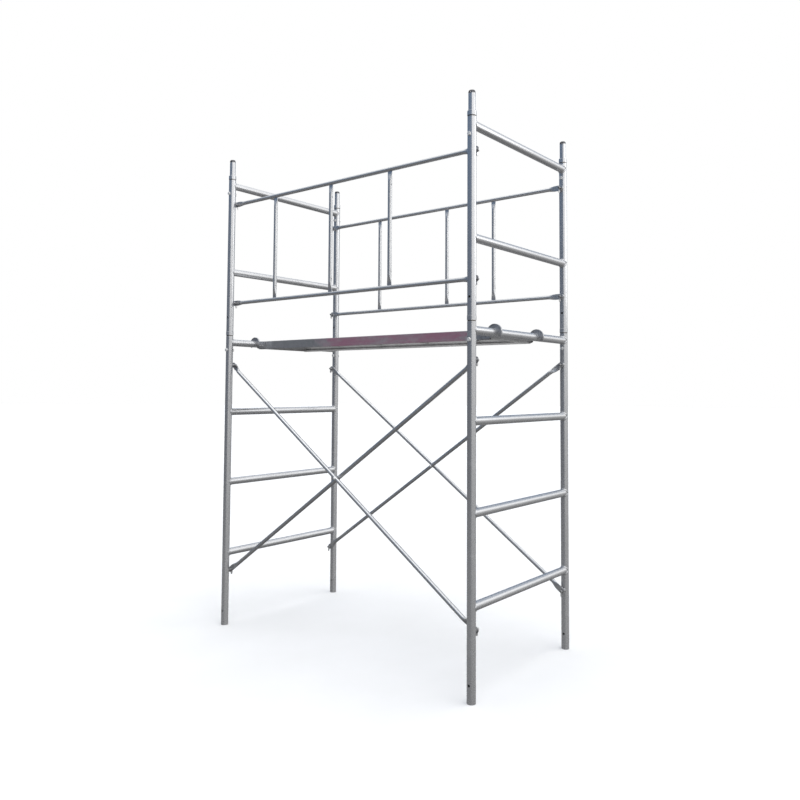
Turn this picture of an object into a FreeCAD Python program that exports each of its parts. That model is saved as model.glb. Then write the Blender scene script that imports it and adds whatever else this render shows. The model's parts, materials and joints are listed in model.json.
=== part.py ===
import FreeCAD, Part
import os
from math import atan2, cos, degrees, hypot, pi, radians, sin, sqrt

# Two-tier steel ladder-frame scaffold, millimetres, +Z up.
# X runs along the bay, Y runs along the rungs, the front is -Y.
# Origin: on the floor, at the centre of the four posts.

V = FreeCAD.Vector

# ---------------------------------------------------------------- dimensions
BAY_L = 1800.0            # post centre to post centre along X
FRAME_W = 950.0           # post centre to post centre along Y
POST_R, POST_BORE = 21.35, 19.0
SOCKET_R, SOCKET_H = 19.3, 160.0   # sized lower end of each post
RUNG_R, RUNG_BORE = 21.0, 18.9

LOW_TOP = 1765.0          # top of the lower posts
RING_H = 28.0             # collar of a coupling pin
UP_BOT = LOW_TOP + RING_H
UP_TOP = 2748.0           # top of the upper posts
RUNGS_LOW = (434.0, 864.0, 1294.0, 1724.0)
RUNGS_UP = (2166.0, 2713.0)

PIN_R, PIN_BORE = 17.2, 13.2
PIN_RING_R = 22.4
PIN_NECK_R, PIN_NECK_H = 20.0, 4.0     # relief under the collar
PIN_IN, PIN_OUT = 110.0, 100.0   # below and above the collar
PIN_CROSS_R = 5.5
HOLE_OFF = 87.0           # bolts and holes, from the collar
FOOT_HOLE_Z, FOOT_HOLE_R = 85.0, 6.25

BOLT_R, BOLT_CLEAR_R = 5.0, 5.2
HEX_AF, HEX_H = 17.0, 8.0

STUD_R, SHOULDER_R = 6.8, 10.0
STUD_SHOULDER = 34.2      # shoulder face, from the post's axis
PLATE_T = 3.6             # flattened end of a brace or rail
STUD_END = 57.0
SLOT_IN, SLOT_W = 40.4, 4.2
PIVOT_D, PIVOT_R = 47.0, 2.0
LATCH_T, LATCH_BORE_R = 3.4, 2.06
LATCH_TOP_R, LATCH_LEN = 5.6, 29.0
BRACE_Z = (324.0, 1584.0)
RAIL_Z = (1973.0, 2599.0)
PLATE_MID = STUD_SHOULDER + PLATE_T / 2.0

BAR_R, BAR_BORE = 11.0, 9.2     # braces, rails and uprights
BAR_HOLE_R = 7.5
BRACE_OFF = 11.2
FRONT_UPRIGHTS = (-530.0, -69.0, 362.0)
REAR_UPRIGHTS = (-454.0, 108.0, 455.0)

PLANK_YF, PLANK_YR = -268.0, 152.0     # outer faces of the side channels
PLANK_X = 866.0                        # half length of the channels
PLANK_Z0, PLANK_Z1 = 1691.0, 1738.0
CH_T, CH_FLANGE = 2.0, 24.0
DECK_T = 2.0
HOOK_T, HOOK_RIM_T = 5.0, 10.0
HOOK_RO, HOOK_RI = 43.5, 21.6
HOOK_Z = RUNGS_LOW[3]

PX, PY = BAY_L / 2.0, FRAME_W / 2.0
POSTS = {"front_left": (-1, -1), "rear_left": (-1, 1), "front_right": (1, -1), "rear_right": (1, 1)}

os.makedirs("parts", exist_ok=True)
NODES = []


def save(name, shape):
    if isinstance(shape, (list, tuple)):
        shape = shape[0] if len(shape) == 1 else Part.makeCompound(list(shape))
    for s in shape.Solids:
        if not s.isValid():
            print("INVALID", name)
    shape.exportStep("parts/%s.step" % name)
    NODES.append(name)
    print(name, len(shape.Solids), "solids", round(shape.Volume, 1))


def cyl(r, p0, p1):
    p0, p1 = V(*p0), V(*p1)
    d = p1 - p0
    return Part.makeCylinder(r, d.Length, p0, d)


def box(x0, y0, z0, x1, y1, z1):
    return Part.makeBox(x1 - x0, y1 - y0, z1 - z0, V(x0, y0, z0))


def ycyl(r, x, z, y0, y1):
    return cyl(r, (x, min(y0, y1), z), (x, max(y0, y1), z))


def chamfered_tube(ro, ri, x, y, z0, z1, c=0.6):
    # tube with lightly broken outer end edges and a sized socket at its lower end
    prof = Part.makePolygon([V(SOCKET_R, 0, z0), V(ro - c, 0, z0), V(ro, 0, z0 + c), V(ro, 0, z1 - c), V(ro - c, 0, z1),
                             V(ri, 0, z1), V(ri, 0, z0 + SOCKET_H), V(SOCKET_R, 0, z0 + SOCKET_H), V(SOCKET_R, 0, z0)])
    s = Part.Face(prof).revolve(V(0, 0, 0), V(0, 0, 1), 360)
    s.translate(V(x, y, 0))
    return s


def hexagon(af, y0, y1, x, z, turn):
    # hexagonal prism with its axis along Y and one chamfered outer face
    r = af / sqrt(3.0)
    pts = [V(x + r * cos(radians(turn + 60 * k)), y0, z + r * sin(radians(turn + 60 * k))) for k in range(7)]
    return Part.Face(Part.makePolygon(pts)).extrude(V(0, y1 - y0, 0))


# ------------------------------------------------------------------- posts
for name, (sx, sy) in POSTS.items():
    x, y = sx * PX, sy * PY
    low = chamfered_tube(POST_R, POST_BORE, x, y, 0.0, LOW_TOP)
    low = low.cut(ycyl(FOOT_HOLE_R, x, FOOT_HOLE_Z, y - 40, y + 40))
    low = low.cut(ycyl(BOLT_CLEAR_R, x, LOW_TOP - HOLE_OFF, y - 40, y + 40))
    save("lower_post_" + name, low)
    up = chamfered_tube(POST_R, POST_BORE, x, y, UP_BOT, UP_TOP)
    up = up.cut(ycyl(FOOT_HOLE_R, x, UP_BOT + HOLE_OFF, y - 40, y + 40))
    up = up.cut(ycyl(BOLT_CLEAR_R, x, UP_TOP - HOLE_OFF, y - 40, y + 40))
    save("upper_post_" + name, up)


# ------------------------------------------------------------------- rungs
def rung(sx, z):
    # tube between two posts, its ends cut to sit on the posts
    s = ycyl(RUNG_R, sx * PX, z, -PY, PY).cut(ycyl(RUNG_BORE, sx * PX, z, -PY - 1, PY + 1))
    for sy in (-1, 1):
        s = s.cut(cyl(POST_R, (sx * PX, sy * PY, z - 60), (sx * PX, sy * PY, z + 60)))
    return max(s.Solids, key=lambda q: q.Volume)


for side, sx in (("left", -1), ("right", 1)):
    save("lower_rungs_" + side, [rung(sx, z) for z in RUNGS_LOW])
    save("upper_rungs_" + side, [rung(sx, z) for z in RUNGS_UP])


# ----------------------------------------------------- coupling pins and bolts
def coupling_pin(x, y, z):
    # collar between two posts, spigot down into one and up out of it
    zt = z + RING_H + PIN_OUT
    prof = Part.makePolygon([V(PIN_BORE, 0, z - PIN_IN), V(PIN_R - 1.5, 0, z - PIN_IN), V(PIN_R, 0, z - PIN_IN + 4),
                             V(PIN_R, 0, z), V(PIN_NECK_R, 0, z), V(PIN_NECK_R, 0, z + PIN_NECK_H),
                             V(PIN_RING_R - 0.8, 0, z + PIN_NECK_H), V(PIN_RING_R, 0, z + PIN_NECK_H + 0.8),
                             V(PIN_RING_R, 0, z + RING_H - 1.2), V(PIN_RING_R - 1.2, 0, z + RING_H),
                             V(PIN_R, 0, z + RING_H), V(PIN_R, 0, zt - 7), V(PIN_R - 1.6, 0, zt - 2.4),
                             V(PIN_R - 3.4, 0, zt), V(PIN_BORE, 0, zt), V(PIN_BORE, 0, z - PIN_IN)])
    s = Part.Face(prof).revolve(V(0, 0, 0), V(0, 0, 1), 360)
    s.translate(V(x, y, 0))
    s = s.cut(ycyl(PIN_CROSS_R, x, z + RING_H + HOLE_OFF, y - 40, y + 40))
    return s.cut(ycyl(BOLT_CLEAR_R, x, z - HOLE_OFF, y - 40, y + 40))


def bolt(x, y, z):
    head = hexagon(HEX_AF, y - POST_R - HEX_H, y - POST_R, x, z, 8)
    dome = Part.makeCone(HEX_AF / 2.0 - 0.1, HEX_AF / 2.0 + 9.0, 9.1, V(x, y - POST_R - HEX_H, z), V(0, 1, 0))
    head = head.common(dome)
    return head.fuse(ycyl(BOLT_R, x, z, y - POST_R - 1, y + POST_R + HEX_H)).removeSplitter()


def nut(x, y, z):
    n = hexagon(HEX_AF, y + POST_R, y + POST_R + HEX_H, x, z, 21)
    cone = Part.makeCone(HEX_AF / 2.0 + 9.0, HEX_AF / 2.0 - 0.1, 9.1, V(x, y + POST_R + HEX_H - 9.1, z), V(0, 1, 0))
    n = n.common(cone)
    return n.cut(ycyl(BOLT_R, x, z, y, y + 60))


for tier, z in (("joint", LOW_TOP), ("top", UP_TOP)):
    at = [(sx * PX, sy * PY) for sx, sy in POSTS.values()]
    save("coupling_pins_" + tier, [coupling_pin(x, y, z) for x, y in at])
    save("pin_bolts_" + tier, [bolt(x, y, z - HOLE_OFF) for x, y in at])
    save("pin_nuts_" + tier, [nut(x, y, z - HOLE_OFF) for x, y in at])


# ------------------------------------------------------ locking studs, latches
def stud(sx, sy, z):
    x, y, u = sx * PX, sy * PY, -sy
    rod = ycyl(STUD_R, x, z, y + u * 12, y + u * STUD_END)
    tip = [e for e in rod.Edges if abs(e.BoundBox.YMin - (y + u * STUD_END)) < 1e-6 and abs(e.BoundBox.YMax - (y + u * STUD_END)) < 1e-6]
    rod = rod.makeChamfer(1.0, tip)
    s = rod.fuse(ycyl(SHOULDER_R, x, z, y + u * 12, y + u * STUD_SHOULDER)).removeSplitter()
    s = s.cut(cyl(POST_R, (x, y, z - 40), (x, y, z + 40)))
    ya, yb = sorted((y + u * SLOT_IN, y + u * (STUD_END + 2)))
    s = s.cut(box(x - SLOT_W / 2, ya, z - 12, x + SLOT_W / 2, yb, z + 12))
    s = s.cut(cyl(PIVOT_R, (x - 12, y + u * PIVOT_D, z), (x + 12, y + u * PIVOT_D, z)))
    return max(s.Solids, key=lambda q: q.Volume)


def pivot(sx, sy, z):
    x, y = sx * PX, sy * PY - sy * PIVOT_D
    return cyl(PIVOT_R, (x - 6.5, y, z), (x + 6.5, y, z))


def latch(sx, sy, z):
    # thin drop plate, hanging from its pivot, narrow neck and round heavy tip
    x, y, u = sx * PX, sy * PY, -sy
    yc = y + u * PIVOT_D
    x0 = x - LATCH_T / 2.0

    def P(a, b):
        return V(x0, yc + u * a, z + b)
    r, n = LATCH_TOP_R, LATCH_LEN
    e = [Part.Arc(P(-r, 0), P(0, r), P(r, 0)).toShape(),
         Part.makeLine(P(r, 0), P(r, -n + 12)),
         Part.Arc(P(r, -n + 12), P(r - 0.4, -n + 2.4), P(0.8, -n - 1.5)).toShape(),
         Part.Arc(P(0.8, -n - 1.5), P(-r + 0.2, -n + 2.6), P(-r, -n + 9)).toShape(),
         Part.makeLine(P(-r, -n + 9), P(-r, 0))]
    s = Part.Face(Part.Wire(Part.__sortEdges__(e))).extrude(V(LATCH_T, 0, 0))
    return s.cut(cyl(LATCH_BORE_R, (x - 9, yc, z), (x + 9, yc, z)))


for kind, zz in (("brace", BRACE_Z), ("rail", RAIL_Z)):
    spots = [(sx, sy, z) for sx, sy in POSTS.values() for z in zz]
    save(kind + "_studs", [stud(*p) for p in spots])
    save(kind + "_latch_pivots", [pivot(*p) for p in spots])
    for name, (sx, sy) in POSTS.items():
        for level, z in (("bottom", zz[0]), ("top", zz[1])):
            save("%s_latch_%s_%s" % (kind, name, level), latch(sx, sy, z))


# ------------------------------------------------------------ tubular bars
def lens_wire(x, k, yc, half_w, half_t):
    # closed section at x: k = 0 is the round tube, k = 1 the flattened end
    a = BAR_R + k * (half_w - BAR_R)
    b = BAR_R + k * (half_t - BAR_R)
    p = BAR_R * 0.70711 + k * (half_w - 1.6 - BAR_R * 0.70711)
    q = BAR_R * 0.70711 + k * (half_t - 0.06 - BAR_R * 0.70711)

    def P(z, y):
        return V(x, yc + y, z)
    arcs = [Part.Arc(P(p, q), P(0, b), P(-p, q)), Part.Arc(P(-p, q), P(-a, 0), P(-p, -q)),
            Part.Arc(P(-p, -q), P(0, -b), P(p, -q)), Part.Arc(P(p, -q), P(a, 0), P(p, q))]
    return Part.Wire([c.toShape() for c in arcs])


def bar_local(length, start, flat, run, half_w, half_t, yoff):
    # bar along +X from its first hole centre to its second, both ends flattened
    stops = [(start, 1.0, 0.0), (flat, 1.0, 0.0)]
    for t in (0.2, 0.4, 0.6, 0.8):
        k = 1.0 - t * t * (3 - 2 * t)
        stops.append((flat + t * run, k, (1 - k) * yoff))
    stops.append((flat + run, 0.0, yoff))
    full = stops + [(length - x, k, y) for x, k, y in reversed(stops)]
    s = Part.makeLoft([lens_wire(x, k, y, half_w, half_t) for x, k, y in full], True, True)
    a = flat + run + 4
    s = s.cut(cyl(BAR_BORE, (a, yoff, 0), (length - a, yoff, 0)))
    for xv in (a + 14, length - a - 14):      # zinc drain holes into the bore
        s = s.cut(cyl(2.5, (xv, yoff, 0), (xv, yoff, -BAR_R - 3)))
    return s


def place(s, x, y, z, dx, dz):
    s = s.copy()
    s.Placement = FreeCAD.Placement(V(x, y, z), FreeCAD.Rotation(V(0, 1, 0), -degrees(atan2(dz, dx))))
    return s


def hung_bar(p, q, y, yoff, rivet=False):
    # bar with an eye at each end, from (x, z) point p to point q
    length = hypot(q[0] - p[0], q[1] - p[1])
    s = bar_local(length, -16.5, 30.0, 48.0, 16.5, PLATE_T / 2.0, yoff)
    for xc, u in ((0.0, -1), (length, 1)):
        edge = box(min(xc, xc + u * 20), -20, -20, max(xc, xc + u * 20), 20, 20).cut(ycyl(16.5, xc, 0, -21, 21))
        s = s.cut(edge).cut(ycyl(BAR_HOLE_R, xc, 0, -6, 6))
    if rivet:
        s = s.cut(ycyl(4.0, length / 2.0, 0, -40, 40))
    s = max(s.Solids, key=lambda g: g.Volume)
    return place(s, p[0], y, p[1], q[0] - p[0], q[1] - p[1])


rivets = []
for face, sy in (("front", -1), ("rear", 1)):
    y = sy * (PY - PLATE_MID)
    save(face + "_brace_outer", hung_bar((-PX, BRACE_Z[1]), (PX, BRACE_Z[0]), y, sy * BRACE_OFF, True))
    save(face + "_brace_inner", hung_bar((-PX, BRACE_Z[0]), (PX, BRACE_Z[1]), y, -sy * BRACE_OFF, True))
    zc = sum(BRACE_Z) / 2.0
    reach = BRACE_OFF + BAR_R
    r = ycyl(4.0, 0, zc, y - reach - 1, y + reach + 1)
    for u in (-1, 1):
        a = y + u * (reach - 0.6)
        r = r.fuse(Part.makeCone(8.0, 4.6, 4.0, V(0, a, zc), V(0, u, 0)))
    # the heads are dished to sit on the round tubes
    r = r.removeSplitter()
    for u, (p, q) in ((sy, ((-PX, BRACE_Z[1]), (PX, BRACE_Z[0]))), (-sy, ((-PX, BRACE_Z[0]), (PX, BRACE_Z[1])))):
        d = V(q[0] - p[0], 0, q[1] - p[1]).normalize() * 60
        c = V(0, y + u * BRACE_OFF, zc)
        tube = Part.makeCylinder(BAR_R, 120, c - d, d).cut(ycyl(4.0, 0, zc, y - 60, y + 60))
        r = r.cut(tube)
    rivets.append(max(r.Solids, key=lambda g: g.Volume))
save("brace_rivets", rivets)

for face, sy, xs in (("front", -1, FRONT_UPRIGHTS), ("rear", 1, REAR_UPRIGHTS)):
    y = sy * (PY - PLATE_MID)
    save(face + "_rail_top", hung_bar((-PX, RAIL_Z[1]), (PX, RAIL_Z[1]), y, 0.0))
    save(face + "_rail_bottom", hung_bar((-PX, RAIL_Z[0]), (PX, RAIL_Z[0]), y, 0.0))
    ups = []
    for x in xs:
        h = RAIL_Z[1] - RAIL_Z[0]
        s = bar_local(h, 6.0, 18.0, 46.0, 15.0, 2.0, 0.0)
        s = place(s, x, y, RAIL_Z[0], 0.0, 1.0)
        for z in RAIL_Z:
            s = s.cut(cyl(BAR_R, (x - 40, y, z), (x + 40, y, z)))
        ups.append(max(s.Solids, key=lambda g: g.Volume))
    save(face + "_rail_uprights", ups)


# ------------------------------------------------------------------ plank
def channel(yo, u):
    # side channel, web outside at yo, flanges toward u
    def Y(a):
        return yo + u * a
    pts = [(0, 0), (CH_FLANGE, 0), (CH_FLANGE, 8), (CH_FLANGE - CH_T, 8), (CH_FLANGE - CH_T, CH_T), (CH_T, CH_T),
           (CH_T, PLANK_Z1 - PLANK_Z0 - CH_T), (CH_FLANGE, PLANK_Z1 - PLANK_Z0 - CH_T), (CH_FLANGE, PLANK_Z1 - PLANK_Z0),
           (0, PLANK_Z1 - PLANK_Z0), (0, 0)]
    w = Part.makePolygon([V(-PLANK_X, Y(a), PLANK_Z0 + b) for a, b in pts])
    return Part.Face(w).extrude(V(2 * PLANK_X, 0, 0))


RIVET_X = (PLANK_X - 41.0, PLANK_X - 16.0)
RIVET_Z = PLANK_Z0 + 20.0
beams = {"front": channel(PLANK_YF, 1), "rear": channel(PLANK_YR, -1)}
for face, yo in (("front", PLANK_YF), ("rear", PLANK_YR)):
    s = beams[face]
    for sx in (-1, 1):
        for rx in RIVET_X:
            s = s.cut(ycyl(3.2, sx * rx, RIVET_Z, yo - 9, yo + 9))
    save("plank_channel_" + face, s)

deck = box(-PLANK_X, PLANK_YF, PLANK_Z1, PLANK_X, PLANK_YR, PLANK_Z1 + DECK_T)
save("plank_deck", deck)

ends = []
for sx in (-1, 1):
    # end channel between the side channels, web outward, seen under the hooked rung
    xo = sx * (PLANK_X - 1.0)
    u = -sx
    h = PLANK_Z1 - CH_T - (PLANK_Z0 + CH_T)
    pts = [(0, 0), (22, 0), (22, CH_T), (CH_T, CH_T), (CH_T, h - CH_T), (22, h - CH_T), (22, h), (0, h), (0, 0)]
    ya = PLANK_YF + CH_FLANGE + 0.2
    yb = PLANK_YR - CH_FLANGE - 0.2
    w = Part.makePolygon([V(xo + u * a, ya, PLANK_Z0 + CH_T + b) for a, b in pts])
    s = Part.Face(w).extrude(V(0, yb - ya, 0))
    # tongues reaching to the webs of the side channels
    for y0, y1 in ((PLANK_YF + CH_T, ya), (yb, PLANK_YR - CH_T)):
        xa, xb = sorted((xo, xo + u * CH_T))
        s = s.fuse(box(xa, y0, PLANK_Z0 + 8.2, xb, y1, PLANK_Z1 - CH_T))
    ends.append(s.removeSplitter())
save("plank_end_channel_left", ends[0])
save("plank_end_channel_right", ends[1])

ribs = []
for x in (-540.0, -180.0, 180.0, 540.0):
    # hat-shaped stiffeners under the deck
    w = Part.makePolygon([V(x + a, 0, PLANK_Z1 - b) for a, b in
                          ((-34, 0), (34, 0), (34, 2), (20, 2), (14, 24), (-14, 24), (-20, 2), (-34, 2), (-34, 0))])
    outer = Part.Face(w).extrude(V(0, 1, 0))
    w2 = Part.makePolygon([V(x + a, -1, PLANK_Z1 - b) for a, b in ((-17.6, -1), (17.6, -1), (12.2, 22), (-12.2, 22), (-17.6, -1))])
    ya, yb = PLANK_YF + CH_FLANGE + 0.2, PLANK_YR - CH_FLANGE - 0.2
    outer = Part.Face(w).extrude(V(0, yb - ya, 0))
    inner = Part.Face(w2).extrude(V(0, yb - ya + 4, 0))
    s = outer.cut(inner)
    s.translate(V(0, ya, 0))
    ribs.append(s.Solids)
flat = [g for r in ribs for g in r]
save("plank_stiffeners", flat)


def hook(sx, yo, u):
    # pressed hook: tail riveted on the channel's web, disc over the rung; u is outward
    cx, cz = PX, HOOK_Z

    def P(x, z):
        return V(x, 0, z)
    tail0 = PLANK_X - 66.0
    zlo, zhi = PLANK_Z0 + 4.0, PLANK_Z1 - 2.0
    low_in = P(cx - HOOK_RI, cz - 24)
    xs = cx - (HOOK_RO ** 2 - (zhi - cz) ** 2) ** 0.5
    nose = P(cx + HOOK_RO * cos(radians(-30)), cz + HOOK_RO * sin(radians(-30)))
    e = [Part.makeLine(P(tail0, zlo + 4), P(tail0, zhi - 4)),
         Part.makeLine(P(tail0, zhi - 4), P(tail0 + 4, zhi)),
         Part.makeLine(P(tail0 + 4, zhi), P(xs, zhi)),
         Part.Arc(P(xs, zhi), P(cx, cz + HOOK_RO), nose).toShape(),
         Part.makeLine(nose, P(cx + HOOK_RI + 1.5, cz - 19)),
         Part.makeLine(P(cx + HOOK_RI + 1.5, cz - 19), P(cx + HOOK_RI, cz - 15)),
         Part.makeLine(P(cx + HOOK_RI, cz - 15), P(cx + HOOK_RI, cz)),
         Part.Arc(P(cx + HOOK_RI, cz), P(cx, cz + HOOK_RI), P(cx - HOOK_RI, cz)).toShape(),
         Part.makeLine(P(cx - HOOK_RI, cz), low_in),
         Part.makeLine(low_in, P(cx - HOOK_RI - 9, zlo)),
         Part.makeLine(P(cx - HOOK_RI - 9, zlo), P(tail0 + 4, zlo)),
         Part.makeLine(P(tail0 + 4, zlo), P(tail0, zlo + 4))]
    s = Part.Face(Part.Wire(e)).extrude(V(0, HOOK_T, 0))
    # raised rim pressed round the disc
    d = (HOOK_RIM_T - HOOK_T) / 2.0
    ring = ycyl(HOOK_RO, cx, cz, -d, HOOK_T + d).cut(ycyl(HOOK_RO - 4.5, cx, cz, -d - 1, HOOK_T + d + 1))
    keep = box(cx - 60, -20, cz + 17.5, cx + 60, 20, cz + 60).fuse(box(cx + 4, -20, cz - 18, cx + 60, 20, cz + 60))
    ring = ring.common(keep.removeSplitter())
    s = s.fuse(ring).removeSplitter()
    for rx in RIVET_X:
        s = s.cut(ycyl(3.2, rx, RIVET_Z, -9, 14))
    s = max(s.Solids, key=lambda g: g.Volume)
    if sx < 0:
        s = s.mirror(V(0, 0, 0), V(1, 0, 0))
    s.translate(V(0, yo if u > 0 else yo - HOOK_T, 0))
    return s


hooks, plank_rivets = {}, []
for side, sx in (("left", -1), ("right", 1)):
    save("plank_hooks_" + side, [hook(sx, PLANK_YF, -1), hook(sx, PLANK_YR, 1)])
    for yo, u in ((PLANK_YF, -1), (PLANK_YR, 1)):
        for rx in RIVET_X:
            r = ycyl(3.2, sx * rx, RIVET_Z, yo + u * HOOK_T, yo - u * CH_T)
            r = r.fuse(Part.makeCone(6.0, 3.6, 3.0, V(sx * rx, yo + u * HOOK_T, RIVET_Z), V(0, u, 0)))
            r = r.fuse(Part.makeCone(5.2, 3.4, 2.4, V(sx * rx, yo - u * CH_T, RIVET_Z), V(0, -u, 0)))
            plank_rivets.append(r.removeSplitter())
save("plank_hook_rivets", plank_rivets)

print(len(NODES), "nodes")
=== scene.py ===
import json
import math
import random

import bmesh
import bpy
from mathutils import Matrix, Vector


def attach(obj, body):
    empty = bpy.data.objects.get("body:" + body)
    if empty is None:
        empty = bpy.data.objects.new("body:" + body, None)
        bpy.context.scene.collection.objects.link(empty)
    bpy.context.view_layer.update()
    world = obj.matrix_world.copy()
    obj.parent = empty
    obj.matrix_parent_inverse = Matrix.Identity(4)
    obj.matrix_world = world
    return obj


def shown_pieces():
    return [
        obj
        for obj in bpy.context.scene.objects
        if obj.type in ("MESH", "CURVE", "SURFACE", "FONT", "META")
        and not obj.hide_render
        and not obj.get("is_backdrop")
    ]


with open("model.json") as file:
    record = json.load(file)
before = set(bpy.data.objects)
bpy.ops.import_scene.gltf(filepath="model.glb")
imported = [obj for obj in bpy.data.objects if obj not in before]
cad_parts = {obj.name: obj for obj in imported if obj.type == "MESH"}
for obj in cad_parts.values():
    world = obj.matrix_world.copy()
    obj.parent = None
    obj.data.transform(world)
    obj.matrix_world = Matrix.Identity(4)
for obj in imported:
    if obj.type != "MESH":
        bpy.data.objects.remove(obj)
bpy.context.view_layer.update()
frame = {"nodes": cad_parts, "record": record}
NODES = frame["nodes"]
RECORD = frame["record"]
rng = random.Random(7)

# ------------------------------------------------------------------ sizes, metres
POST_R = 0.02135
RUNG_R = 0.021
PX, PY = 0.9, 0.475
CORNERS = {"front_left": (-1, -1), "rear_left": (-1, 1), "front_right": (1, -1), "rear_right": (1, 1)}
RUNGS_LOW = (0.434, 0.864, 1.294, 1.724)
RUNGS_UP = (2.166, 2.713)
BRACE_Z = (0.324, 1.584)
RAIL_Z = (1.973, 2.599)
LOW_TOP, RING_H, UP_TOP = 1.765, 0.028, 2.748
DECK_TOP = 1.740


# ------------------------------------------------------------------ camera
def make_camera():
    yaw, pitch, roll = math.radians(38.926), math.radians(2.979), math.radians(0.352)
    f = Vector((-math.sin(yaw) * math.cos(pitch), math.cos(yaw) * math.cos(pitch), math.sin(pitch)))
    r = Vector((math.cos(yaw), math.sin(yaw), 0.0))
    u = r.cross(f)
    r2 = math.cos(roll) * r + math.sin(roll) * u
    u2 = -math.sin(roll) * r + math.cos(roll) * u
    m = Matrix(((r2.x, u2.x, -f.x, 2.8438), (r2.y, u2.y, -f.y, -3.4193), (r2.z, u2.z, -f.z, 1.4476), (0, 0, 0, 1)))
    cam = bpy.data.cameras.new("camera")
    cam.sensor_width = 36.0
    cam.lens = 745.9 * 36.0 / 800.0
    cam.shift_y = -50.75 / 800.0
    cam.clip_start, cam.clip_end = 0.05, 100.0
    ob = bpy.data.objects.new("camera", cam)
    ob.matrix_world = m
    bpy.context.scene.collection.objects.link(ob)
    bpy.context.scene.camera = ob


# ------------------------------------------------------------------ node helper
class Tree:
    def __init__(self, name):
        self.mat = bpy.data.materials.new(name)
        self.mat.use_nodes = True
        self.nt = self.mat.node_tree
        self.nt.nodes.clear()
        self.out = self.new("ShaderNodeOutputMaterial")
        self.p = self.new("ShaderNodeBsdfPrincipled")
        self.link(self.p.outputs["BSDF"], self.out.inputs["Surface"])
        self.tc = self.new("ShaderNodeTexCoord")

    def new(self, kind, **props):
        n = self.nt.nodes.new(kind)
        for k, v in props.items():
            setattr(n, k, v)
        return n

    def link(self, a, b):
        self.nt.links.new(a, b)

    def coords(self, scale=(1, 1, 1), loc=(0, 0, 0), rot=(0, 0, 0)):
        m = self.new("ShaderNodeMapping")
        m.inputs["Scale"].default_value = scale
        m.inputs["Location"].default_value = loc
        m.inputs["Rotation"].default_value = rot
        self.link(self.tc.outputs["Object"], m.inputs["Vector"])
        return m.outputs["Vector"]

    def noise(self, vec, scale, detail=4.0, rough=0.55, dist=0.0):
        n = self.new("ShaderNodeTexNoise")
        n.inputs["Scale"].default_value = scale
        n.inputs["Detail"].default_value = detail
        n.inputs["Roughness"].default_value = rough
        n.inputs["Distortion"].default_value = dist
        self.link(vec, n.inputs["Vector"])
        return n.outputs["Fac"]

    def voronoi(self, vec, scale, feature="F1", out="Color", rand=1.0):
        n = self.new("ShaderNodeTexVoronoi", feature=feature)
        n.inputs["Scale"].default_value = scale
        n.inputs["Randomness"].default_value = rand
        self.link(vec, n.inputs["Vector"])
        return n.outputs[out]

    def ramp(self, fac, stops, interp="LINEAR"):
        n = self.new("ShaderNodeValToRGB")
        n.color_ramp.interpolation = interp
        e = n.color_ramp.elements
        while len(e) < len(stops):
            e.new(0.5)
        for el, (pos, col) in zip(e, stops):
            el.position = pos
            if not hasattr(col, "__len__"):
                col = (col, col, col)
            el.color = (*col, 1.0)
        self.link(fac, n.inputs["Fac"])
        return n.outputs["Color"]

    def mix(self, fac, a, b, blend="MIX", clamp=False):
        n = self.new("ShaderNodeMix", data_type="RGBA", blend_type=blend, clamp_result=clamp)
        for sock, v in ((n.inputs[0], fac), (n.inputs[6], a), (n.inputs[7], b)):
            if hasattr(v, "is_linked") or hasattr(v, "links"):
                self.link(v, sock)
            elif hasattr(v, "__len__"):
                sock.default_value = (*v, 1.0)
            else:
                sock.default_value = v if sock is n.inputs[0] else (v, v, v, 1.0)
        return n.outputs[2]

    def math(self, op, a, b=0.0, clamp=False):
        n = self.new("ShaderNodeMath", operation=op, use_clamp=clamp)
        for sock, v in ((n.inputs[0], a), (n.inputs[1], b)):
            if hasattr(v, "links"):
                self.link(v, sock)
            else:
                sock.default_value = v
        return n.outputs[0]

    def remap(self, v, a, b, c, d, smooth=False):
        n = self.new("ShaderNodeMapRange")
        n.interpolation_type = "SMOOTHSTEP" if smooth else "LINEAR"
        n.inputs["From Min"].default_value = a
        n.inputs["From Max"].default_value = b
        n.inputs["To Min"].default_value = c
        n.inputs["To Max"].default_value = d
        self.link(v, n.inputs["Value"])
        return n.outputs["Result"]

    def bump(self, height, strength, distance, normal=None):
        n = self.new("ShaderNodeBump")
        n.inputs["Strength"].default_value = strength
        n.inputs["Distance"].default_value = distance
        self.link(height, n.inputs["Height"])
        if normal is not None:
            self.link(normal, n.inputs["Normal"])
        return n.outputs["Normal"]


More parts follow.
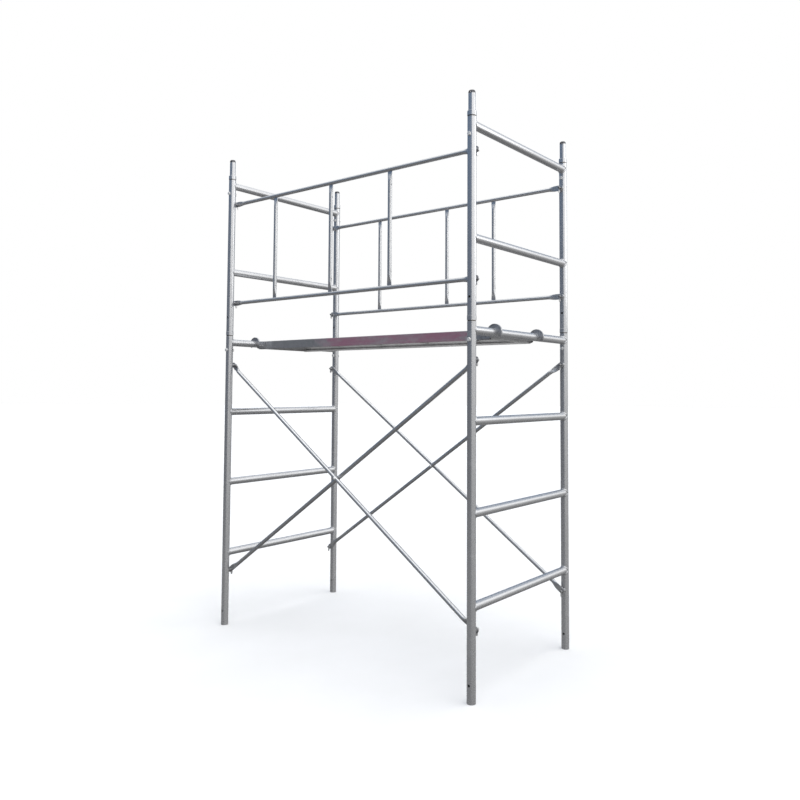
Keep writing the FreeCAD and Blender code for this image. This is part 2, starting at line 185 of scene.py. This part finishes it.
def galvanised(name, light, dark, cell=95.0, streak=(46, 46, 2.2), metal=0.85, rough=(0.30, 0.50),
               spangle=0.5, grime=0.18, bump=0.14, dust=None, dust_amount=0.0, collar_shade_heights=()):
    """Hot-dip galvanised steel: crystal spangle, cloudy zinc, drawn streaks, dull patches and a little grime."""
    t = Tree(name)
    base = t.coords()
    warp = t.noise(base, 38.0, 2.0)
    cells = t.voronoi(t.coords(scale=(1.0, 1.0, 0.8)), cell)
    sep = t.new("ShaderNodeSeparateColor")
    t.link(cells, sep.inputs["Color"])
    crystal = t.math("ADD", t.math("MULTIPLY", sep.outputs[0], 0.7), t.math("MULTIPLY", warp, 0.3))
    cloud = t.noise(base, 7.0, 5.0, 0.6, 0.4)
    fine = t.noise(base, 260.0, 3.0, 0.6)
    run = t.noise(t.coords(scale=streak), 1.0, 4.0, 0.6)
    tone = t.math("ADD", t.math("MULTIPLY", crystal, spangle), t.math("MULTIPLY", cloud, 1.0 - spangle))
    tone = t.math("ADD", t.math("MULTIPLY", tone, 0.72), t.math("MULTIPLY", run, 0.28))
    colour = t.mix(t.remap(tone, 0.30, 0.68, 0.0, 1.0, True), dark, light)
    # dull grey-white oxide bloom and fine dark grime
    bloom = t.remap(t.noise(t.coords(loc=(3, 1, 2)), 13.0, 6.0, 0.65), 0.56, 0.74, 0.0, 0.5, True)
    colour = t.mix(bloom, colour, tuple(min(1.0, 1.05 * c) for c in light))
    dirt = t.remap(t.noise(t.coords(scale=(1, 1, 0.45), loc=(5, 2, 9)), 21.0, 8.0, 0.72), 0.57, 0.80, 0.0, grime, True)
    colour = t.mix(dirt, colour, (0.16, 0.155, 0.15))
    if dust is not None:
        d = t.remap(t.noise(t.coords(scale=(0.6, 1, 1.6), loc=(1, 7, 4)), 9.0, 6.0, 0.6), 0.32, 0.62, 0.35 * dust_amount, dust_amount, True)
        # the faded colour is worn away toward both ends of the plank
        xyz = t.new("ShaderNodeSeparateXYZ")
        t.link(t.coords(), xyz.inputs[0])
        along = t.math("ADD", xyz.outputs[0], t.math("MULTIPLY", t.math("SUBTRACT", warp, 0.5), 0.25))
        band = t.math("MULTIPLY", t.remap(along, -0.42, -0.20, 0.0, 1.0, True), t.remap(along, 0.66, 0.80, 1.0, 0.0, True))
        d = t.math("MULTIPLY", d, band)
        colour = t.mix(d, colour, dust)
        # darker band along the left part of the plank's side, mixed toward (0.22, 0.22, 0.23)
        darker_band = t.math("MULTIPLY", t.remap(along, -0.80, -0.72, 0.0, 1.0, True), t.remap(along, -0.40, -0.25, 0.55, 0.0, True))
        colour = t.mix(darker_band, colour, (0.22, 0.22, 0.23))
    if collar_shade_heights:
        # painted shade: a dark line in the groove under each collar, where shade falls, and a near-black band (crown)
        # from 110 to 210 mm above each height
        xyz = t.new("ShaderNodeSeparateXYZ")
        t.link(t.coords(), xyz.inputs[0])
        for z in collar_shade_heights:
            groove_shade = t.math("MULTIPLY", t.remap(xyz.outputs[2], z - 0.0015, z, 0.0, 0.9, True), t.remap(xyz.outputs[2], z + 0.0040, z + 0.0052, 1.0, 0.0, True))
            colour = t.mix(groove_shade, colour, (0.13, 0.115, 0.10))
            crown = t.math("MULTIPLY", t.remap(xyz.outputs[2], z + 0.110, z + 0.118, 0.0, 0.95, True), t.remap(xyz.outputs[2], z + 0.20, z + 0.21, 1.0, 0.0, True))
            colour = t.mix(crown, colour, (0.06, 0.06, 0.065))
    t.link(colour, t.p.inputs["Base Color"])
    r = t.math("ADD", t.math("MULTIPLY", tone, 0.6), t.math("MULTIPLY", fine, 0.4))
    r = t.remap(r, 0.3, 0.7, rough[1], rough[0])
    r = t.math("ADD", r, t.math("MULTIPLY", dirt, 0.5), clamp=True)
    t.link(r, t.p.inputs["Roughness"])
    m = t.remap(t.math("ADD", bloom, dirt), 0.0, 0.9, metal, metal * 0.55)
    t.link(m, t.p.inputs["Metallic"])
    t.p.inputs["IOR"].default_value = 1.5
    h = t.math("ADD", t.math("MULTIPLY", warp, 0.8), t.math("MULTIPLY", fine, 0.12))
    n1 = t.bump(h, bump, 0.0006)
    n2 = t.bump(t.noise(base, 24.0, 3.0), bump * 0.8, 0.0016, n1)
    t.link(n2, t.p.inputs["Normal"])
    return t.mat


# ------------------------------------------------------------------ mesh helper
def piece(name, bm, body, mat, smooth=None):
    me = bpy.data.meshes.new(name)
    bmesh.ops.recalc_face_normals(bm, faces=bm.faces[:])
    bm.to_mesh(me)
    bm.free()
    for p in me.polygons:
        p.use_smooth = True
    if smooth is not None:
        me.set_sharp_from_angle(angle=math.radians(smooth))
    me.materials.append(mat)
    ob = bpy.data.objects.new(name, me)
    bpy.context.scene.collection.objects.link(ob)
    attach(ob, body)
    return ob


def bead(bm, centre, frames, radius, sides=8):
    """Closed tube through centre points with an outward normal each: a weld bead with its ripples."""
    n = len(centre)
    rings = []
    for i, (c, (nn, bb)) in enumerate(zip(centre, frames)):
        ring = []
        for k in range(sides):
            a = 2 * math.pi * k / sides
            ring.append(bm.verts.new(c + (math.cos(a) * nn * radius[i][0] + math.sin(a) * bb * radius[i][1])))
        rings.append(ring)
    for i in range(n):
        a, b = rings[i], rings[(i + 1) % n]
        for k in range(sides):
            bm.faces.new((a[k], a[(k + 1) % sides], b[(k + 1) % sides], b[k]))


def rung_weld(bm, sx, sy, z, seed):
    """Fillet weld where a rung sits on a post."""
    r = random.Random(seed)
    u = -sy
    cx, cy = sx * PX, sy * PY
    n = 132
    ph, lump = r.random() * 6.28, [r.uniform(-1, 1) for _ in range(9)]
    pts, frames, rad = [], [], []
    for i in range(n):
        t = 2 * math.pi * i / n
        x, zz = RUNG_R * math.cos(t), RUNG_R * math.sin(t)
        y = math.sqrt(max(POST_R ** 2 - x * x, 0.0))
        npost = Vector((x, u * y, 0)) / POST_R
        nr = Vector((math.cos(t), 0, math.sin(t)))
        out = (npost + nr).normalized()
        lum = sum(l * math.cos((k + 1) * t + ph * k) for k, l in enumerate(lump)) / 9
        ripple = 0.5 + 0.5 * math.cos(n / 3.0 * t)
        base = Vector((cx + x, cy + u * y, z + zz))
        side = abs(math.cos(t)) ** 4
        size = 0.0034 + 0.0007 * lum + 0.00035 * ripple - 0.0008 * side
        # keep a bead centred in the corner between the two tubes
        pts.append(base + out * (0.0006 + 0.0004 * ripple))
        tangent = None
        frames.append((out, None))
        rad.append((size, size * 1.25))
    for i in range(n):
        tan = (pts[(i + 1) % n] - pts[i - 1]).normalized()
        out = frames[i][0]
        bb = tan.cross(out).normalized()
        frames[i] = (bb.cross(tan).normalized(), bb)
    bead(bm, pts, frames, rad)


def stud_weld(bm, sx, sy, z, seed):
    """Weld round a locking stud's shoulder on the post."""
    r = random.Random(seed)
    u, cx, cy, R = -sy, sx * PX, sy * PY, 0.0101
    n = 72
    ph = r.random() * 6.28
    pts, outs, rad = [], [], []
    for i in range(n):
        t = 2 * math.pi * i / n
        x, zz = R * math.cos(t), R * math.sin(t)
        y = math.sqrt(POST_R ** 2 - x * x)
        npost = Vector((x, u * y, 0)) / POST_R
        out = (npost + Vector((math.cos(t), 0, math.sin(t)))).normalized()
        ripple = 0.5 + 0.5 * math.cos(n / 3.0 * t)
        pts.append(Vector((cx + x, cy + u * y, z + zz)) + out * 0.0005)
        outs.append(out)
        s = 0.0026 + 0.0004 * math.sin(2 * t + ph) + 0.0003 * ripple
        rad.append((s, s * 1.2))
    frames = []
    for i in range(n):
        tan = (pts[(i + 1) % n] - pts[i - 1]).normalized()
        bb = tan.cross(outs[i]).normalized()
        frames.append((bb.cross(tan).normalized(), bb))
    bead(bm, pts, frames, rad)


# ------------------------------------------------------------------ materials
MATS = {
    "galvanised_tube": galvanised("galvanised_tube", (0.60, 0.605, 0.62), (0.555, 0.56, 0.575), 90.0, rough=(0.23, 0.31), spangle=0.3,
                                  grime=0.10, bump=0.02),
    "galvanised_brace_tube": galvanised("galvanised_brace_tube", (0.58, 0.585, 0.595), (0.53, 0.535, 0.545), 110.0, streak=(2.2, 46, 46),
                                        rough=(0.22, 0.36), spangle=0.35, grime=0.12, bump=0.02),
    # coupling_steel carries painted shade in the groove under each collar
    "coupling_steel": galvanised("coupling_steel", (0.60, 0.605, 0.62), (0.54, 0.545, 0.56), 130.0, rough=(0.23, 0.31), spangle=0.3,
                                 grime=0.15, bump=0.015, collar_shade_heights=(LOW_TOP, UP_TOP)),
    # fastener_steel: the near-white base colour paints in the bright highlight on the bolt heads
    "fastener_steel": galvanised("fastener_steel", (0.93, 0.93, 0.92), (0.80, 0.80, 0.80), 400.0, rough=(0.34, 0.48), metal=0.35, grime=0.12),
    "stud_steel": galvanised("stud_steel", (0.46, 0.46, 0.47), (0.30, 0.30, 0.31), 200.0, grime=0.5),
    "latch_steel": galvanised("latch_steel", (0.62, 0.62, 0.62), (0.45, 0.45, 0.46), 260.0, rough=(0.25, 0.42)),
    "plank_side_steel": galvanised("plank_side_steel", (0.52, 0.52, 0.53), (0.42, 0.42, 0.43), 85.0, streak=(2.0, 40, 40), metal=0.5,
                                   rough=(0.42, 0.6), bump=0.08, dust=(0.53, 0.25, 0.34), dust_amount=0.92),
    "plank_deck_steel": galvanised("plank_deck_steel", (0.54, 0.54, 0.545), (0.45, 0.45, 0.455), 80.0, streak=(2.0, 40, 2.0), metal=0.45,
                                   rough=(0.42, 0.6), grime=0.30, bump=0.08),
    "hook_steel": galvanised("hook_steel", (0.50, 0.50, 0.51), (0.36, 0.36, 0.37), 120.0, grime=0.3, bump=0.08),
}
SLOT_OF = {s["node"]: s["material_slot"] for s in RECORD["subparts"]}
for name, ob in NODES.items():
    mat = MATS[SLOT_OF[name]]
    for ms in ob.material_slots:
        ms.material = mat
    if not ob.material_slots:
        ob.data.materials.append(mat)

# ------------------------------------------------------------------ weld beads
seed = 100
for tier, levels, body in (("lower", RUNGS_LOW, "lower_tier"), ("upper", RUNGS_UP, "upper_tier")):
    for side, sx in (("left", -1), ("right", 1)):
        bm = bmesh.new()
        for z in levels:
            for sy in (-1, 1):
                seed += 1
                rung_weld(bm, sx, sy, z, seed)
        piece("%s_rung_welds_%s" % (tier, side), bm, body, MATS["galvanised_tube"])
for kind, levels, body in (("brace", BRACE_Z, "lower_tier"), ("rail", RAIL_Z, "upper_tier")):
    bm = bmesh.new()
    for sx, sy in CORNERS.values():
        for z in levels:
            seed += 1
            stud_weld(bm, sx, sy, z, seed)
    piece("%s_stud_welds" % kind, bm, body, MATS["stud_steel"])


# ------------------------------------------------------------------ anti-slip relief on the deck
def grip_boss(bm, x, y, z, angle):
    """Low elongated dome pressed up out of the deck sheet, closed underneath."""
    ca, sa = math.cos(angle), math.sin(angle)
    rings = []
    for scale, h in ((1.0, -0.0004), (0.97, 0.0002), (0.62, 0.0013)):
        ring = []
        for k in range(12):
            t = 2 * math.pi * k / 12
            a, b = 0.0105 * scale * math.cos(t), 0.0042 * scale * math.sin(t)
            ring.append(bm.verts.new((x + a * ca - b * sa, y + a * sa + b * ca, z + h)))
        rings.append(ring)
    for lo, hi in zip(rings, rings[1:]):
        for k in range(12):
            bm.faces.new((lo[k], lo[(k + 1) % 12], hi[(k + 1) % 12], hi[k]))
    top = bm.verts.new((x, y, z + 0.0017))
    for k in range(12):
        bm.faces.new((rings[-1][k], rings[-1][(k + 1) % 12], top))
    bm.faces.new(tuple(reversed(rings[0])))


bm = bmesh.new()
for i in range(46):
    for j in range(11):
        gx = -0.81 + 0.036 * i
        gy = -0.058 + 0.036 * (j - 5)
        grip_boss(bm, gx, gy, DECK_TOP, math.radians(45 if (i + j) % 2 else -45))
piece("plank_deck_grip", bm, "plank", MATS["plank_deck_steel"], smooth=50)


# ------------------------------------------------------------------ studio
PALE = (1.0, 1.0, 1.0)
SIDE_EDGE = (0.26, 0.52)
DIM_SIDE = [(0.0, (0.16, 0.16, 0.16)), (0.18, (0.19, 0.19, 0.19)), (0.36, (0.33, 0.33, 0.33)), (0.46, (0.17, 0.17, 0.18)), (0.54, (0.15, 0.175, 0.22)),
            (0.70, (0.14, 0.23, 0.37)), (0.88, (1.10, 1.12, 1.15)), (1.0, (1.75, 1.75, 1.75))]
BRIGHT_SIDE = [(0.0, (0.16, 0.16, 0.16)), (0.18, (0.20, 0.20, 0.20)), (0.40, (0.40, 0.40, 0.40)), (0.50, (0.68, 0.68, 0.68)), (0.61, (1.50, 1.50, 1.49)),
               (1.0, (1.65, 1.65, 1.65))]


def make_studio():
    me = bpy.data.meshes.new("floor")
    bm = bmesh.new()
    bmesh.ops.create_circle(bm, cap_ends=True, segments=96, radius=60.0)
    bm.to_mesh(me)
    bm.free()
    floor = bpy.data.objects.new("floor", me)
    bpy.context.scene.collection.objects.link(floor)
    t = Tree("pale_floor")
    col = t.mix(t.remap(t.noise(t.coords(), 1.3, 5.0), 0.3, 0.7, 0.0, 1.0, True), (0.83, 0.83, 0.83), (0.86, 0.86, 0.865))
    t.link(col, t.p.inputs["Base Color"])
    t.p.inputs["Roughness"].default_value = 0.9
    t.p.inputs["Specular IOR Level"].default_value = 0.0
    me.materials.append(t.mat)
    floor.visible_glossy = False
    floor.visible_diffuse = False
    floor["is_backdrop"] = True

    # soft studio surround: pale overhead and to one side, dim and cool at eye level on the other side
    w = bpy.data.worlds.new("studio")
    bpy.context.scene.world = w
    w.use_nodes = True
    nt = w.node_tree
    nt.nodes.clear()
    N = nt.nodes.new
    out, bg, pale, mixs = N("ShaderNodeOutputWorld"), N("ShaderNodeBackground"), N("ShaderNodeBackground"), N("ShaderNodeMixShader")
    tc, sep, path = N("ShaderNodeTexCoord"), N("ShaderNodeSeparateXYZ"), N("ShaderNodeLightPath")
    nt.links.new(tc.outputs["Generated"], sep.inputs[0])
    mr = N("ShaderNodeMapRange")
    mr.inputs["From Min"].default_value = -1.0
    nt.links.new(sep.outputs["Z"], mr.inputs["Value"])

    def ramp(stops):
        r = N("ShaderNodeValToRGB")
        r.color_ramp.interpolation = "EASE"
        e = r.color_ramp.elements
        while len(e) < len(stops):
            e.new(0.5)
        for el, (pos, c) in zip(e, stops):
            el.position = pos
            el.color = (*c, 1.0)
        nt.links.new(mr.outputs["Result"], r.inputs["Fac"])
        return r
    dim = ramp(DIM_SIDE)
    bright = ramp(BRIGHT_SIDE)
    dot = N("ShaderNodeVectorMath")
    dot.operation = "DOT_PRODUCT"
    dot.inputs[1].default_value = (0.988, 0.155, 0.0)
    nt.links.new(tc.outputs["Generated"], dot.inputs[0])
    side = N("ShaderNodeMapRange")
    side.interpolation_type = "SMOOTHSTEP"
    for k, v in (("From Min", SIDE_EDGE[0]), ("From Max", SIDE_EDGE[1]), ("To Min", 0.0), ("To Max", 1.0)):
        side.inputs[k].default_value = v
    nt.links.new(dot.outputs["Value"], side.inputs["Value"])
    blend = N("ShaderNodeMix")
    blend.data_type = "RGBA"
    nt.links.new(side.outputs["Result"], blend.inputs[0])
    nt.links.new(dim.outputs["Color"], blend.inputs[6])
    nt.links.new(bright.outputs["Color"], blend.inputs[7])
    nt.links.new(blend.outputs[2], bg.inputs["Color"])
    bg.inputs["Strength"].default_value = 1.0
    pale.inputs["Color"].default_value = (*PALE, 1.0)
    pale.inputs["Strength"].default_value = 1.0
    nt.links.new(path.outputs["Is Camera Ray"], mixs.inputs[0])
    nt.links.new(bg.outputs[0], mixs.inputs[1])
    nt.links.new(pale.outputs[0], mixs.inputs[2])
    nt.links.new(mixs.outputs[0], out.inputs[0])

    on_part = bpy.data.collections.new("lit_part")
    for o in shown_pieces():
        on_part.objects.link(o)

    def lamp(name, kind, loc, target, energy, colour=(1, 1, 1), size=(1, 1), angle=30.0, only_part=False):
        l = bpy.data.lights.new(name, kind)
        if kind == "AREA":
            l.shape = "RECTANGLE"
            l.size, l.size_y = size
        else:
            l.angle = math.radians(angle)
        l.energy = energy
        l.color = colour
        o = bpy.data.objects.new(name, l)
        o.location = loc
        o.rotation_euler = (Vector(target) - Vector(loc)).to_track_quat("-Z", "Y").to_euler()
        bpy.context.scene.collection.objects.link(o)
        if only_part:
            o.light_linking.receiver_collection = on_part
    right = Vector((0.777, 0.629, 0.0))
    lamp("sun_top", "SUN", (0.5, -0.4, 5.0), (0, 0, 0), 0.5, angle=70.0)
    lamp("key", "AREA", right * 3.2 + Vector((0.35, -0.45, 3.0)), (0, 0, 2.3), 12.0, size=(1.2, 1.6), only_part=True)
    under = bpy.data.collections.new("lit_underside")
    for n, o in NODES.items():
        if n in ("plank_channel_rear", "plank_deck", "plank_stiffeners", "plank_end_channel_left", "plank_end_channel_right"):
            under.objects.link(o)
    lamp("bounce", "AREA", (0.2, -2.4, 0.25), (0, 0, 1.72), 60.0, size=(3.0, 0.8), only_part=True)
    bpy.data.objects["bounce"].light_linking.receiver_collection = under
    sc = bpy.context.scene
    sc.view_settings.view_transform = "Standard"
    sc.view_settings.look = "None"
    sc.view_settings.exposure = 0.0


make_camera()
make_studio()
